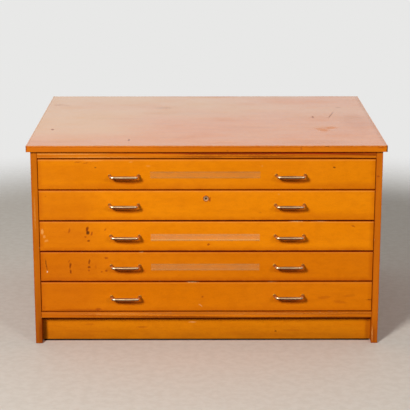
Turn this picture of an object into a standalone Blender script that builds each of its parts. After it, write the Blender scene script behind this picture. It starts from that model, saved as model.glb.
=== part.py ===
"""Flat file cabinet: a low wooden plan chest with five wide drawers, in metres, +Z up.

The cabinet stands on the floor at z = 0, centred on x = 0, with its front at -Y. The origin is at the bottom
centre of the whole cabinet, handles included. Pieces are placed from the datum empty, whose y = 0 is the plane
of the drawer fronts, and each drawer's pieces from that drawer's own empty.
"""

import math

import bmesh
import bpy
from mathutils import Vector

# Clearances
FIT = 0.0003                    # between two pieces that touch
OVERRUN = 0.004                 # how far a cut runs past the face that it opens

# Carcass
CARCASS_WIDTH = 1.045
CARCASS_DEPTH = 0.820           # from the drawer fronts to the back edge of the top
SIDE_THICKNESS = 0.0195
SIDE_ARRIS = 0.0012
TOE_HEIGHT = 0.0823
BOTTOM_RAIL_HEIGHT = 0.0182
TOP_RAIL_HEIGHT = 0.0205
RAIL_THICKNESS = 0.022
RAIL_ARRIS = 0.0008
PLINTH_RECESS = 0.0325
PLINTH_THICKNESS = 0.018
PLINTH_CLEARANCE = 0.003         # between the floor and the two plinth boards
REAR_PLINTH_INSET = 0.030
BOTTOM_BOARD_THICKNESS = 0.018
BACK_THICKNESS = 0.006
BACK_REBATE = 0.011

# Top
TOP_THICKNESS = 0.019
TOP_SIDE_OVERHANG = 0.0115
TOP_FRONT_OVERHANG = 0.012
LAMINATE_THICKNESS = 0.0012
LIPPING_THICKNESS = 0.004
LIPPING_ARRIS = 0.0012

# Runner frames between the drawers
FRAME_THICKNESS = 0.016
FRAME_RAIL_WIDTH = 0.060
FRAME_BACK_RAIL_WIDTH = 0.050
RUNNER_WIDTH = 0.050
FRAME_HOUSING = 0.006           # how deep a frame is let into the side panels
FRAME_SETBACK = 0.0015          # from the back of a drawer front's lip to the frame

# Drawers
DRAWER_COUNT = 5
FRONT_HEIGHT = 0.0917
FRONT_GAP = 0.0035              # between two drawer fronts
FRONT_SIDE_GAP = 0.0015         # between a drawer and the side panel
FRONT_THICKNESS = 0.020
FRONT_LIP = 0.008               # thickness of the lip that covers the frames
FRONT_ARRIS = 0.0015
BOX_SIDE_THICKNESS = 0.012
BOX_BACK_THICKNESS = 0.012
BOX_HEAD_ROOM = 0.003           # above the drawer sides
BOX_REAR_ROOM = 0.040           # behind the drawer sides
BOX_BACK_INSET = 0.010          # from the rear ends of the drawer sides to the drawer back
BOX_BACK_HOUSING = 0.004        # how deep the drawer back is let into the drawer sides
BOX_BACK_DROP = 0.006           # from the top of the drawer sides to the top of the drawer back
BOX_BOTTOM_THICKNESS = 0.005
GROOVE_DEPTH = 0.006
GROOVE_HEIGHT = 0.008           # from the lower edge of a drawer side to its groove

# Dovetails
TAIL_COUNT = 3
TAIL_LENGTH = 0.010
TAIL_NECK = 0.0170              # width of a tail at its root
TAIL_SLOPE = 1 / 7

# Handles
HANDLE_PITCH = 0.495            # between the middles of a drawer's two handles
HANDLE_HEIGHT = 0.0470          # above the lower edge of the drawer front
HANDLE_OFFSETS = {              # right of and above its nominal place, left and right handle: they were set by eye
    1: ((0.0020, -0.0047), (0.0022, -0.0039)),
    2: ((0.0005, 0.0011), (0.0008, 0.0003)),
    3: ((0.0024, 0.0000), (0.0010, 0.0001)),
    4: ((0.0024, 0.0022), (0.0000, 0.0026)),
    5: ((0.0018, -0.0011), (0.0012, 0.0023)),
}
HANDLE_FEET = 0.086             # between the middles of the two feet
HANDLE_PROJECTION = 0.036
HANDLE_SPLAY = 0.0045           # how far a foot stands outside its knee
HANDLE_BOW = 0.0015             # how far the middle of the grip stands in front of its ends
HANDLE_BEND = 0.0065            # radius of the knee
FOOT_RADIUS = 0.0050
FOOT_THICKNESS = 0.0022
FOOT_CHAMFER = 0.0008
WAIST_RADIUS = 0.0040
BELLY_RADIUS = 0.0048
HANDLE_SIDES = 12
FOOT_RINGS = 3
BEND_STEPS = 4
GRIP_STEPS = 8

# Label holders
LABEL_LENGTH = 0.327
LABEL_WIDTH = 0.021
LABEL_HEIGHT = 0.0430           # middle of the label holder above the lower edge of the drawer front
LABEL_SHIFT = 0.0045            # left of the middle of the drawer front
LABEL_OFFSETS = {1: 0.0016, 3: -0.0009, 4: 0.0015}    # above LABEL_HEIGHT, on each drawer that has a holder
LABEL_WALL = 0.0008
LABEL_SLOT = 0.0010             # room for the card
LABEL_LIP = 0.0035              # height of the two lips that hold the card

# Lock
LOCKED_DRAWER = "drawer_2"
LOCK_DROP = 0.0240              # from the top edge of the drawer front to the middle of the lock
LOCK_SHIFT = 0.0025             # left of the middle of the drawer front
LOCK_BARREL_RADIUS = 0.0076
LOCK_FLANGE_RADIUS = 0.0090
LOCK_FLANGE_THICKNESS = 0.0025
LOCK_FLANGE_CHAMFER = 0.0008
LOCK_NUT_RADIUS = 0.0125        # to the corners
LOCK_NUT_THICKNESS = 0.0040
LOCK_THREAD_SPARE = 0.0020      # of the barrel behind the nut
PLUG_RADIUS = 0.0052
PLUG_SINK = 0.0006              # of the plug's face behind the face of the flange
PLUG_TAIL = 0.0060              # side of the square tail that carries the cam
PLUG_TAIL_SPARE = 0.0008        # of the tail behind the cam
KEY_SLOT_WIDTH = 0.0020
KEY_SLOT_HEIGHT = 0.0068
KEY_SLOT_DEPTH = 0.0120
CAM_THICKNESS = 0.0020
CAM_HALF_WIDTH = 0.0065
CAM_BITE = 0.0080               # how far the cam rises into the frame above it
CAM_CLEARANCE = 0.0020          # round the cam in the frame's mortise
ROUND_SIDES = 24

# Heights, from the floor
BOTTOM_RAIL_TOP = TOE_HEIGHT + BOTTOM_RAIL_HEIGHT
DRAWER_PITCH = FRONT_HEIGHT + FRONT_GAP
TOP_RAIL_BOTTOM = BOTTOM_RAIL_TOP + DRAWER_COUNT * DRAWER_PITCH + FRONT_GAP
CARCASS_HEIGHT = TOP_RAIL_BOTTOM + TOP_RAIL_HEIGHT
FRAME_REACH = (FRAME_THICKNESS - FRONT_GAP) / 2     # of a frame behind the edge of a drawer front
BOTTOM_BOARD_TOP = BOTTOM_RAIL_TOP + FRONT_GAP + FRAME_REACH
BOTTOM_BOARD_UNDERSIDE = BOTTOM_BOARD_TOP - BOTTOM_BOARD_THICKNESS

# Half widths, from the middle
OUTER_HALF = CARCASS_WIDTH / 2
INNER_HALF = OUTER_HALF - SIDE_THICKNESS
TOP_HALF = OUTER_HALF + TOP_SIDE_OVERHANG
DRAWER_HALF = INNER_HALF - FRONT_SIDE_GAP
DRAWER_INNER_HALF = DRAWER_HALF - BOX_SIDE_THICKNESS

# Depths, from the plane of the drawer fronts
BACK_FACE = CARCASS_DEPTH - BACK_THICKNESS
FRAME_FRONT = FRONT_LIP + FRAME_SETBACK
BOX_REAR = BACK_FACE - BOX_REAR_ROOM
BOX_BACK_REAR = BOX_REAR - BOX_BACK_INSET
CAM_FRONT = FRONT_THICKNESS + LOCK_NUT_THICKNESS + LOCK_THREAD_SPARE + 2 * FIT
DATUM_Y = HANDLE_PROJECTION - (HANDLE_PROJECTION + CARCASS_DEPTH) / 2

# Heights in a drawer, from the lower edge of its front
BOX_BOTTOM = FRAME_REACH + FIT
BOX_TOP = FRONT_HEIGHT - FRAME_REACH - BOX_HEAD_ROOM
GROOVE_BOTTOM = BOX_BOTTOM + GROOVE_HEIGHT
GROOVE_TOP = GROOVE_BOTTOM + BOX_BOTTOM_THICKNESS + 2 * FIT
LOCK_HEIGHT = FRONT_HEIGHT - LOCK_DROP
CAM_RISE = FRONT_HEIGHT - FRAME_REACH - LOCK_HEIGHT    # from the lock's axis to the frame above it
CAM_REACH = CAM_RISE + CAM_BITE


def drawer_base(number):
    """Height of the lower edge of a drawer's front; drawer 1 is the top one."""
    return BOTTOM_RAIL_TOP + FRONT_GAP + (DRAWER_COUNT - number) * DRAWER_PITCH


def linear(red, green, blue):
    """A colour given as three bytes, as the linear colour that a shader takes."""
    def channel(value):
        share = value / 255
        return share / 12.92 if share <= 0.04045 else ((share + 0.055) / 1.055) ** 2.4
    return (channel(red), channel(green), channel(blue), 1.0)


def make_material(name, colour, roughness, metallic=0.0, alpha=1.0):
    material = bpy.data.materials.new(name)
    material.use_nodes = True
    shader = material.node_tree.nodes["Principled BSDF"]
    shader.inputs["Base Color"].default_value = linear(*colour)
    shader.inputs["Roughness"].default_value = roughness
    shader.inputs["Metallic"].default_value = metallic
    shader.inputs["Alpha"].default_value = alpha
    return material


def mesh_from(build, name):
    """A mesh with outward normals, from a bmesh, which it frees."""
    bmesh.ops.recalc_face_normals(build, faces=build.faces[:])
    mesh = bpy.data.meshes.new(name)
    build.to_mesh(mesh)
    build.free()
    return mesh


def chamfer(build, edges, width):
    if width and edges:
        bmesh.ops.bevel(build, geom=edges, offset=width, segments=2, profile=0.5, affect="EDGES")


def board(low, high, arris=0.0, soft=None):
    """A board between two corners; soft picks the edges that lose their arris, all of them by default."""
    build = bmesh.new()
    made = bmesh.ops.create_cube(build, size=1.0)
    middle = (Vector(low) + Vector(high)) / 2
    spread = Vector(high) - Vector(low)
    for vertex in made["verts"]:
        vertex.co = middle + Vector(a * b for a, b in zip(vertex.co, spread))
    chamfer(build, [edge for edge in build.edges if soft is None or soft(edge)], arris)
    return mesh_from(build, "board")


def prism(outline, axis, start, end, arris=0.0, soft=None):
    """An outline in the plane across an axis (0, 1 or 2), extruded along it from start to end."""
    build = bmesh.new()
    corners = []
    for first, second in outline:
        corner = [first, second]
        corner.insert(axis, start)
        corners.append(build.verts.new(corner))
    base = build.faces.new(corners)
    swept = bmesh.ops.extrude_face_region(build, geom=[base])
    for item in swept["geom"]:
        if isinstance(item, bmesh.types.BMVert):
            item.co[axis] = end
    chamfer(build, [edge for edge in build.edges if soft and soft(edge)], arris)
    return mesh_from(build, "prism")


def turned(profile):
    """A closed profile of (radius, y) points turned about the Y axis."""
    build = bmesh.new()
    corners = [build.verts.new((radius, y, 0.0)) for radius, y in profile]
    edges = [build.edges.new(pair) for pair in zip(corners, corners[1:] + corners[:1])]
    bmesh.ops.spin(
        build, geom=corners + edges, axis=(0, 1, 0), cent=(0, 0, 0), steps=ROUND_SIDES,
        angle=math.tau, use_merge=True, use_normal_flip=False, use_duplicate=False,
    )
    bmesh.ops.remove_doubles(build, verts=build.verts[:], dist=FIT / ROUND_SIDES)
    return mesh_from(build, "turned")


def circle(radius, sides=ROUND_SIDES, turn=0.0):
    """Corners of a regular outline about the origin."""
    return [
        (radius * math.cos(turn + math.tau * step / sides), radius * math.sin(turn + math.tau * step / sides))
        for step in range(sides)
    ]


def combined(meshes, operation, first):
    """The first mesh with each of the others cut away from it or joined to it."""
    piece = bpy.data.objects.new("blank", first)
    bpy.context.scene.collection.objects.link(piece)
    helpers = []
    for mesh in meshes:
        helper = bpy.data.objects.new("helper", mesh)
        helper.hide_render = True
        helper.display_type = "WIRE"
        bpy.context.scene.collection.objects.link(helper)
        modifier = piece.modifiers.new(operation.lower(), "BOOLEAN")
        modifier.operation = operation
        modifier.solver = "EXACT"
        modifier.object = helper
        helpers.append(helper)
    graph = bpy.context.evaluated_depsgraph_get()
    result = bpy.data.meshes.new_from_object(piece.evaluated_get(graph))
    for used in [piece] + helpers:
        bpy.data.objects.remove(used)
    return result


def carved(blank, *cutters):
    return combined(cutters, "DIFFERENCE", blank)


def joined(first, *others):
    return combined(others, "UNION", first)


def empty(name, parent=None, location=(0.0, 0.0, 0.0)):
    holder = bpy.data.objects.new(name, None)
    holder.parent = parent
    holder.location = location
    bpy.context.scene.collection.objects.link(holder)
    return holder


def place(name, mesh, material, parent, location=(0.0, 0.0, 0.0), smooth=False):
    """One named piece of the cabinet."""
    piece = bpy.data.objects.new(name, mesh)
    piece.parent = parent
    piece.location = location
    if not mesh.materials:
        mesh.materials.append(material)
    if smooth:
        mesh.shade_smooth()
        mesh.set_sharp_from_angle(angle=math.radians(40))
    bpy.context.scene.collection.objects.link(piece)
    return piece


def on_front(edge):
    """Whether an edge lies in the plane of the fronts."""
    return all(abs(vertex.co.y) < FIT for vertex in edge.verts)


# Carcass

def side_panel(sign):
    """A side panel with the housings of the frames and the bottom board, and the rebate of the back."""
    inner = sign * INNER_HALF
    outer = sign * OUTER_HALF
    housed = sign * (INNER_HALF + FRAME_HOUSING)
    open_side = sign * (INNER_HALF - OVERRUN)
    blank = board(
        (min(inner, outer), 0.0, 0.0), (max(inner, outer), CARCASS_DEPTH, CARCASS_HEIGHT), SIDE_ARRIS, on_front
    )

    def housing(front, bottom, top):
        low = (min(housed, open_side), front - FIT, bottom - FIT)
        return board(low, (max(housed, open_side), BACK_FACE + FIT, top + FIT))

    cutters = [
        housing(FRAME_FRONT, frame_bottom(number), frame_bottom(number) + FRAME_THICKNESS)
        for number in range(1, DRAWER_COUNT)
    ]
    cutters.append(housing(RAIL_THICKNESS + FIT, BOTTOM_BOARD_UNDERSIDE, BOTTOM_BOARD_TOP))
    rebate = sign * (INNER_HALF + BACK_REBATE)
    low = (min(rebate, open_side), BACK_FACE, BOTTOM_BOARD_UNDERSIDE - FIT)
    high = (max(rebate, open_side), CARCASS_DEPTH + OVERRUN, CARCASS_HEIGHT + OVERRUN)
    cutters.append(board(low, high))
    return carved(blank, *cutters)


def frame_bottom(number):
    """Underside of the frame below a drawer."""
    return drawer_base(number) - FRONT_GAP - FRAME_REACH


def runner_frame(mortised):
    """A frame of front rail, two runners and back rail, from its own underside; the lock's frame has a mortise."""
    half = INNER_HALF + FRAME_HOUSING - FIT
    blank = board((-half, FRAME_FRONT, 0.0), (half, BACK_FACE - FIT, FRAME_THICKNESS))
    hole = INNER_HALF - RUNNER_WIDTH
    low = (-hole, FRAME_FRONT + FRAME_RAIL_WIDTH, -OVERRUN)
    high = (hole, BACK_FACE - FRAME_BACK_RAIL_WIDTH, FRAME_THICKNESS + OVERRUN)
    cutters = [board(low, high)]
    if mortised:
        sweep = math.sqrt(CAM_REACH ** 2 - CAM_RISE ** 2) + CAM_HALF_WIDTH + CAM_CLEARANCE
        low = (-CAM_HALF_WIDTH - CAM_CLEARANCE - LOCK_SHIFT, CAM_FRONT - CAM_CLEARANCE, -OVERRUN)
        high = (sweep - LOCK_SHIFT, CAM_FRONT + CAM_THICKNESS + CAM_CLEARANCE, CAM_BITE + CAM_CLEARANCE)
        cutters.append(board(low, high))
    return carved(blank, *cutters)


def top_frame():
    """The rail over the top drawer, with the kickers and the back rail that the top is screwed to."""
    half = INNER_HALF - FIT
    kicker_bottom = TOP_RAIL_BOTTOM - FRONT_GAP - FRAME_REACH
    rail = board((-half, 0.0, TOP_RAIL_BOTTOM), (half, RAIL_THICKNESS, CARCASS_HEIGHT), RAIL_ARRIS, on_front)
    inside = board(
        (-half, RAIL_THICKNESS - OVERRUN, kicker_bottom), (half, BACK_FACE - FIT, CARCASS_HEIGHT)
    )
    hole = INNER_HALF - RUNNER_WIDTH
    low = (-hole, FRAME_FRONT + FRAME_RAIL_WIDTH, kicker_bottom - OVERRUN)
    high = (hole, BACK_FACE - FRAME_BACK_RAIL_WIDTH, CARCASS_HEIGHT + OVERRUN)
    front_low = (-half - OVERRUN, -OVERRUN, kicker_bottom - OVERRUN)
    front_high = (half + OVERRUN, FRONT_THICKNESS + FRAME_SETBACK, TOP_RAIL_BOTTOM)
    return carved(joined(rail, inside), board(low, high), board(front_low, front_high))


def build_carcass(datum, finish):
    for side, sign in (("left", -1), ("right", 1)):
        place(f"side_panel_{side}", side_panel(sign), finish["side"], datum)
    place("top_frame", top_frame(), finish["rail"], datum)
    between = INNER_HALF - FIT
    place(
        "bottom_rail",
        board((-between, 0.0, TOE_HEIGHT), (between, RAIL_THICKNESS, BOTTOM_RAIL_TOP), RAIL_ARRIS, on_front),
        finish["rail"], datum,
    )
    housed = INNER_HALF + FRAME_HOUSING - FIT
    low = (-housed, RAIL_THICKNESS + 2 * FIT, BOTTOM_BOARD_UNDERSIDE)
    place("bottom_board", board(low, (housed, BACK_FACE - FIT, BOTTOM_BOARD_TOP)), finish["inner"], datum)
    plinth_top = BOTTOM_BOARD_UNDERSIDE - FIT
    high = (between, PLINTH_RECESS + PLINTH_THICKNESS, plinth_top)
    place("plinth_board", board((-between, PLINTH_RECESS, PLINTH_CLEARANCE), high), finish["plinth"], datum)
    rear = CARCASS_DEPTH - REAR_PLINTH_INSET
    low = (-between, rear - PLINTH_THICKNESS, PLINTH_CLEARANCE)
    place("rear_plinth_board", board(low, (between, rear, plinth_top)), finish["inner"], datum)
    rebated = INNER_HALF + BACK_REBATE - FIT
    low = (-rebated, BACK_FACE + FIT, BOTTOM_BOARD_UNDERSIDE)
    place("back_panel", board(low, (rebated, CARCASS_DEPTH, CARCASS_HEIGHT)), finish["ply"], datum)
    plain = runner_frame(False)
    for number in range(1, DRAWER_COUNT):
        mesh = runner_frame(True) if f"drawer_{number + 1}" == LOCKED_DRAWER else plain
        place(f"runner_frame_{number}", mesh, finish["inner"], datum, (0.0, 0.0, frame_bottom(number)))


def build_top(datum, finish):
    """The core board with its lippings, under one thin sheet, glued down and varnished."""
    bottom = CARCASS_HEIGHT + FIT
    top = bottom + TOP_THICKNESS
    seam = top - LAMINATE_THICKNESS
    front = -TOP_FRONT_OVERHANG
    core_half = TOP_HALF - LIPPING_THICKNESS - FIT
    core_front = front + LIPPING_THICKNESS + FIT
    core_rear = CARCASS_DEPTH - LIPPING_THICKNESS - FIT
    low = (-core_half, core_front, bottom)
    place("top_board", board(low, (core_half, core_rear, seam - FIT)), finish["inner"], datum)
    low = (-core_half, core_front, seam)
    place("top_laminate", board(low, (core_half, core_rear, top)), finish["laminate"], datum)

    def lipping(name, low, high, soft):
        place(f"top_lipping_{name}", board(low, high, LIPPING_ARRIS, soft), finish["lipping"], datum)

    def soft_at(axis, value):
        return lambda edge: all(abs(vertex.co[axis] - value) < FIT for vertex in edge.verts)

    lipping("front", (-TOP_HALF, front, bottom), (TOP_HALF, front + LIPPING_THICKNESS, top), soft_at(1, front))
    rear_low = (-TOP_HALF, CARCASS_DEPTH - LIPPING_THICKNESS, bottom)
    lipping("back", rear_low, (TOP_HALF, CARCASS_DEPTH, top), soft_at(1, CARCASS_DEPTH))
    inner = TOP_HALF - LIPPING_THICKNESS
    for name, sign in (("left", -1), ("right", 1)):
        low = (min(sign * inner, sign * TOP_HALF), core_front, bottom)
        high = (max(sign * inner, sign * TOP_HALF), core_rear, top)
        lipping(name, low, high, soft_at(0, sign * TOP_HALF))


# Drawers

def tail_places():
    """Heights of the middles of the dovetails on a drawer side."""
    pitch = (BOX_TOP - BOX_BOTTOM) / TAIL_COUNT
    return [BOX_BOTTOM + (number + 0.5) * pitch for number in range(TAIL_COUNT)]


def tail_widths(clearance):
    """Half widths of a dovetail at its root and at its tip."""
    root = TAIL_NECK / 2 + clearance
    return root, root + TAIL_LENGTH * TAIL_SLOPE


def front_mesh(locked):
    """A drawer front: lipped along its top and bottom, with dovetail sockets and the bottom's groove."""
    outline = [
        (0.0, 0.0), (0.0, FRONT_HEIGHT), (FRONT_LIP, FRONT_HEIGHT), (FRONT_LIP, BOX_TOP),
        (FRONT_THICKNESS, BOX_TOP), (FRONT_THICKNESS, BOX_BOTTOM), (FRONT_LIP, BOX_BOTTOM), (FRONT_LIP, 0.0),
    ]
    blank = prism(outline, 0, -DRAWER_HALF, DRAWER_HALF, FRONT_ARRIS, on_front)
    root, tip = tail_widths(FIT)
    floor = FRONT_THICKNESS - TAIL_LENGTH - FIT
    cutters = []
    for middle in tail_places():
        socket = [
            (FRONT_THICKNESS + OVERRUN, middle - root), (FRONT_THICKNESS, middle - root), (floor, middle - tip),
            (floor, middle + tip), (FRONT_THICKNESS, middle + root), (FRONT_THICKNESS + OVERRUN, middle + root),
        ]
        for sign in (-1, 1):
            reach = sorted((sign * (DRAWER_INNER_HALF - FIT), sign * (DRAWER_HALF + OVERRUN)))
            cutters.append(prism(socket, 0, *reach))
    groove = DRAWER_INNER_HALF + GROOVE_DEPTH
    low = (-groove, FRONT_THICKNESS - GROOVE_DEPTH, GROOVE_BOTTOM)
    cutters.append(board(low, (groove, FRONT_THICKNESS + OVERRUN, GROOVE_TOP)))
    if locked:
        hole = [(x - LOCK_SHIFT, z + LOCK_HEIGHT) for x, z in circle(LOCK_BARREL_RADIUS + FIT)]
        cutters.append(prism(hole, 1, -OVERRUN, FRONT_THICKNESS + OVERRUN))
    return carved(blank, *cutters)


def drawer_side(sign):
    """A drawer side: dovetails at its front, the bottom's groove and the back's housing on its inner face."""
    root, tip = tail_widths(0.0)
    shoulder = FRONT_THICKNESS + FIT
    outline = [(BOX_REAR, BOX_TOP), (BOX_REAR, BOX_BOTTOM), (shoulder, BOX_BOTTOM)]
    for middle in tail_places():
        outline += [
            (shoulder, middle - root), (FRONT_THICKNESS - TAIL_LENGTH, middle - tip),
            (FRONT_THICKNESS - TAIL_LENGTH, middle + tip), (shoulder, middle + root),
        ]
    outline.append((shoulder, BOX_TOP))
    blank = prism(outline, 0, *sorted((sign * DRAWER_INNER_HALF, sign * DRAWER_HALF)))

    def inside(depth, front, rear, bottom, top):
        reach = sorted((sign * (DRAWER_INNER_HALF + depth), sign * (DRAWER_INNER_HALF - OVERRUN)))
        return board((reach[0], front, bottom), (reach[1], rear, top))

    groove = inside(
        GROOVE_DEPTH, FRONT_THICKNESS - GROOVE_DEPTH, BOX_REAR + OVERRUN, GROOVE_BOTTOM, GROOVE_TOP
    )
    back_front = BOX_BACK_REAR - BOX_BACK_THICKNESS
    housing = inside(
        BOX_BACK_HOUSING, back_front - FIT, BOX_BACK_REAR + FIT, GROOVE_TOP - FIT, BOX_TOP + OVERRUN
    )
    return carved(blank, groove, housing)


def handle_path():
    """Middle line of a handle in plan from one foot to the other, with the radius at each point."""
    foot = Vector((HANDLE_FEET / 2, -FIT))
    ankle = Vector((HANDLE_FEET / 2, -FOOT_THICKNESS))
    knee = Vector((HANDLE_FEET / 2 - HANDLE_SPLAY, BELLY_RADIUS + HANDLE_BOW - HANDLE_PROJECTION))
    leg = (knee - ankle).normalized()
    turn = leg.angle(Vector((-1.0, 0.0)))
    tangent = HANDLE_BEND * math.tan(turn / 2)
    bend_start = knee - leg * tangent
    centre = bend_start + Vector((leg.y, -leg.x)) * HANDLE_BEND
    start = math.atan2(bend_start.y - centre.y, bend_start.x - centre.x)
    half = [
        (foot, FOOT_RADIUS), (ankle + Vector((0.0, FOOT_CHAMFER)), FOOT_RADIUS), (ankle, FOOT_RADIUS - FOOT_CHAMFER),
        (ankle.lerp(knee, FOOT_CHAMFER / knee.length), WAIST_RADIUS),
    ]
    for step in range(BEND_STEPS + 1):
        angle = start - turn * step / BEND_STEPS
        half.append((centre + HANDLE_BEND * Vector((math.cos(angle), math.sin(angle))), WAIST_RADIUS))
    grip_half = half[-1][0].x
    for step in range(1, GRIP_STEPS // 2 + 1):
        swell = math.sin(math.pi / GRIP_STEPS * step)
        point = Vector((grip_half * (1 - 2 * step / GRIP_STEPS), knee.y - HANDLE_BOW * swell))
        half.append((point, WAIST_RADIUS + (BELLY_RADIUS - WAIST_RADIUS) * swell))
    return half + [(Vector((-point.x, point.y)), radius) for point, radius in reversed(half[:-1])]


def handle_mesh():
    """A bow handle: round rings lofted along its middle line, with a flat face on each foot."""
    path = handle_path()
    build = bmesh.new()
    rings = []
    for index, (point, radius) in enumerate(path):
        before = path[max(index - 1, 0)][0]
        after = path[min(index + 1, len(path) - 1)][0]
        along = (after - before).normalized()
        if index < FOOT_RINGS or index >= len(path) - FOOT_RINGS:
            along = Vector((0.0, -1.0 if index < FOOT_RINGS else 1.0))
        across = Vector((-along.y, along.x, 0.0))
        middle = Vector((point.x, point.y, 0.0))
        rings.append([
            build.verts.new(middle + across * first + Vector((0.0, 0.0, second)))
            for first, second in circle(radius, HANDLE_SIDES)
        ])
    for ring, following in zip(rings, rings[1:]):
        for corner in range(HANDLE_SIDES):
            other = (corner + 1) % HANDLE_SIDES
            build.faces.new((ring[corner], ring[other], following[other], following[corner]))
    build.faces.new(rings[0])
    build.faces.new(rings[-1])
    return mesh_from(build, "handle")


def label_mesh():
    """A label holder: a strip with two lips that a card slides behind."""
    back = -FIT
    slot = back - LABEL_WALL
    lip = slot - LABEL_SLOT
    face = lip - LABEL_WALL
    edge = LABEL_WIDTH / 2
    inner = edge - LABEL_WALL
    mouth = edge - LABEL_LIP
    outline = [
        (back, -edge), (face, -edge), (face, -mouth), (lip, -mouth), (lip, -inner), (slot, -inner),
        (slot, inner), (lip, inner), (lip, mouth), (face, mouth), (face, edge), (back, edge),
    ]
    return prism(outline, 0, -LABEL_LENGTH / 2, LABEL_LENGTH / 2)


def build_drawer(number, datum, finish, shapes):
    base = empty(f"drawer_{number}_slide", datum, (0.0, 0.0, drawer_base(number)))
    name = f"drawer_{number}"
    locked = name == LOCKED_DRAWER
    place(f"{name}_front", shapes["locked_front" if locked else "front"], finish["front"], base)
    for side in ("left", "right"):
        place(f"{name}_side_{side}", shapes[f"side_{side}"], finish["box"], base)
    place(f"{name}_back", shapes["back"], finish["box"], base)
    place(f"{name}_bottom", shapes["bottom"], finish["ply"], base)
    for side, sign, (across, up) in zip(("left", "right"), (-1, 1), HANDLE_OFFSETS[number]):
        where = (sign * HANDLE_PITCH / 2 + across, 0.0, HANDLE_HEIGHT + up)
        place(f"{name}_handle_{side}", shapes["handle"], finish["metal"], base, where, smooth=True)
    if number in LABEL_OFFSETS:
        where = (-LABEL_SHIFT, 0.0, LABEL_HEIGHT + LABEL_OFFSETS[number])
        place(f"{name}_label_holder", shapes["label"], finish["clear"], base, where)
    if locked:
        build_lock(base, finish)


def build_drawers(datum, finish):
    back_low = (FIT - DRAWER_INNER_HALF - BOX_BACK_HOUSING, BOX_BACK_REAR - BOX_BACK_THICKNESS, GROOVE_TOP)
    back_high = (DRAWER_INNER_HALF + BOX_BACK_HOUSING - FIT, BOX_BACK_REAR, BOX_TOP - BOX_BACK_DROP)
    bottom_half = DRAWER_INNER_HALF + GROOVE_DEPTH - FIT
    bottom_low = (-bottom_half, FRONT_THICKNESS - GROOVE_DEPTH + FIT, GROOVE_BOTTOM + FIT)
    bottom_high = (bottom_half, BOX_REAR, GROOVE_TOP - FIT)
    shapes = {
        "front": front_mesh(False), "locked_front": front_mesh(True),
        "side_left": drawer_side(-1), "side_right": drawer_side(1),
        "back": board(back_low, back_high), "bottom": board(bottom_low, bottom_high),
        "handle": handle_mesh(), "label": label_mesh(),
    }
    for number in range(1, DRAWER_COUNT + 1):
        build_drawer(number, datum, finish, shapes)


# Lock

def housing_mesh():
    """The fixed barrel of the lock, with its flange on the drawer front."""
    bore = PLUG_RADIUS + FIT
    rim = -FIT - LOCK_FLANGE_THICKNESS
    end = CAM_FRONT - FIT
    return turned([
        (bore, rim), (LOCK_FLANGE_RADIUS - LOCK_FLANGE_CHAMFER, rim),
        (LOCK_FLANGE_RADIUS, rim + LOCK_FLANGE_CHAMFER), (LOCK_FLANGE_RADIUS, -FIT),
        (LOCK_BARREL_RADIUS, -FIT), (LOCK_BARREL_RADIUS, end), (bore, end),
    ])


def plug_mesh():
    """The plug that the key turns, with the square tail that drives the cam."""
    face = PLUG_SINK - FIT - LOCK_FLANGE_THICKNESS
    tail_end = CAM_FRONT + CAM_THICKNESS + PLUG_TAIL_SPARE
    core = prism(circle(PLUG_RADIUS), 1, face, CAM_FRONT - FIT)
    half = PLUG_TAIL / 2
    tail = board((-half, CAM_FRONT - OVERRUN, -half), (half, tail_end, half))
    slot_low = (-KEY_SLOT_WIDTH / 2, face - OVERRUN, -KEY_SLOT_HEIGHT / 2)
    slot = board(slot_low, (KEY_SLOT_WIDTH / 2, face + KEY_SLOT_DEPTH, KEY_SLOT_HEIGHT / 2))
    return carved(joined(core, tail), slot)


def cam_mesh():
    """The cam: a flat tongue with round ends, pointing along +X, square-holed for the plug's tail."""
    straight = CAM_REACH - CAM_HALF_WIDTH
    steps = ROUND_SIDES // 2
    outline = []
    for middle, start in ((straight, -math.pi / 2), (0.0, math.pi / 2)):
        for step in range(steps + 1):
            angle = start + math.pi * step / steps
            outline.append((middle + CAM_HALF_WIDTH * math.cos(angle), CAM_HALF_WIDTH * math.sin(angle)))
    blank = prism(outline, 1, CAM_FRONT, CAM_FRONT + CAM_THICKNESS)
    half = PLUG_TAIL / 2 + FIT
    hole = board((-half, CAM_FRONT - OVERRUN, -half), (half, CAM_FRONT + CAM_THICKNESS + OVERRUN, half))
    return carved(blank, hole)


def nut_mesh():
    """The hexagonal nut that clamps the lock to the back of the drawer front."""
    start = FRONT_THICKNESS + FIT
    blank = prism(circle(LOCK_NUT_RADIUS, 6), 1, start, start + LOCK_NUT_THICKNESS)
    hole = prism(circle(LOCK_BARREL_RADIUS + FIT), 1, start - OVERRUN, start + LOCK_NUT_THICKNESS + OVERRUN)
    return carved(blank, hole)


def build_lock(drawer, finish):
    axis = empty("lock_axis", drawer, (-LOCK_SHIFT, 0.0, LOCK_HEIGHT))
    place("lock_housing", housing_mesh(), finish["metal"], axis, smooth=True)
    place("lock_nut", nut_mesh(), finish["metal"], axis)
    place("lock_plug", plug_mesh(), finish["brass"], axis)
    place("lock_cam", cam_mesh(), finish["metal"], axis)


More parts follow.
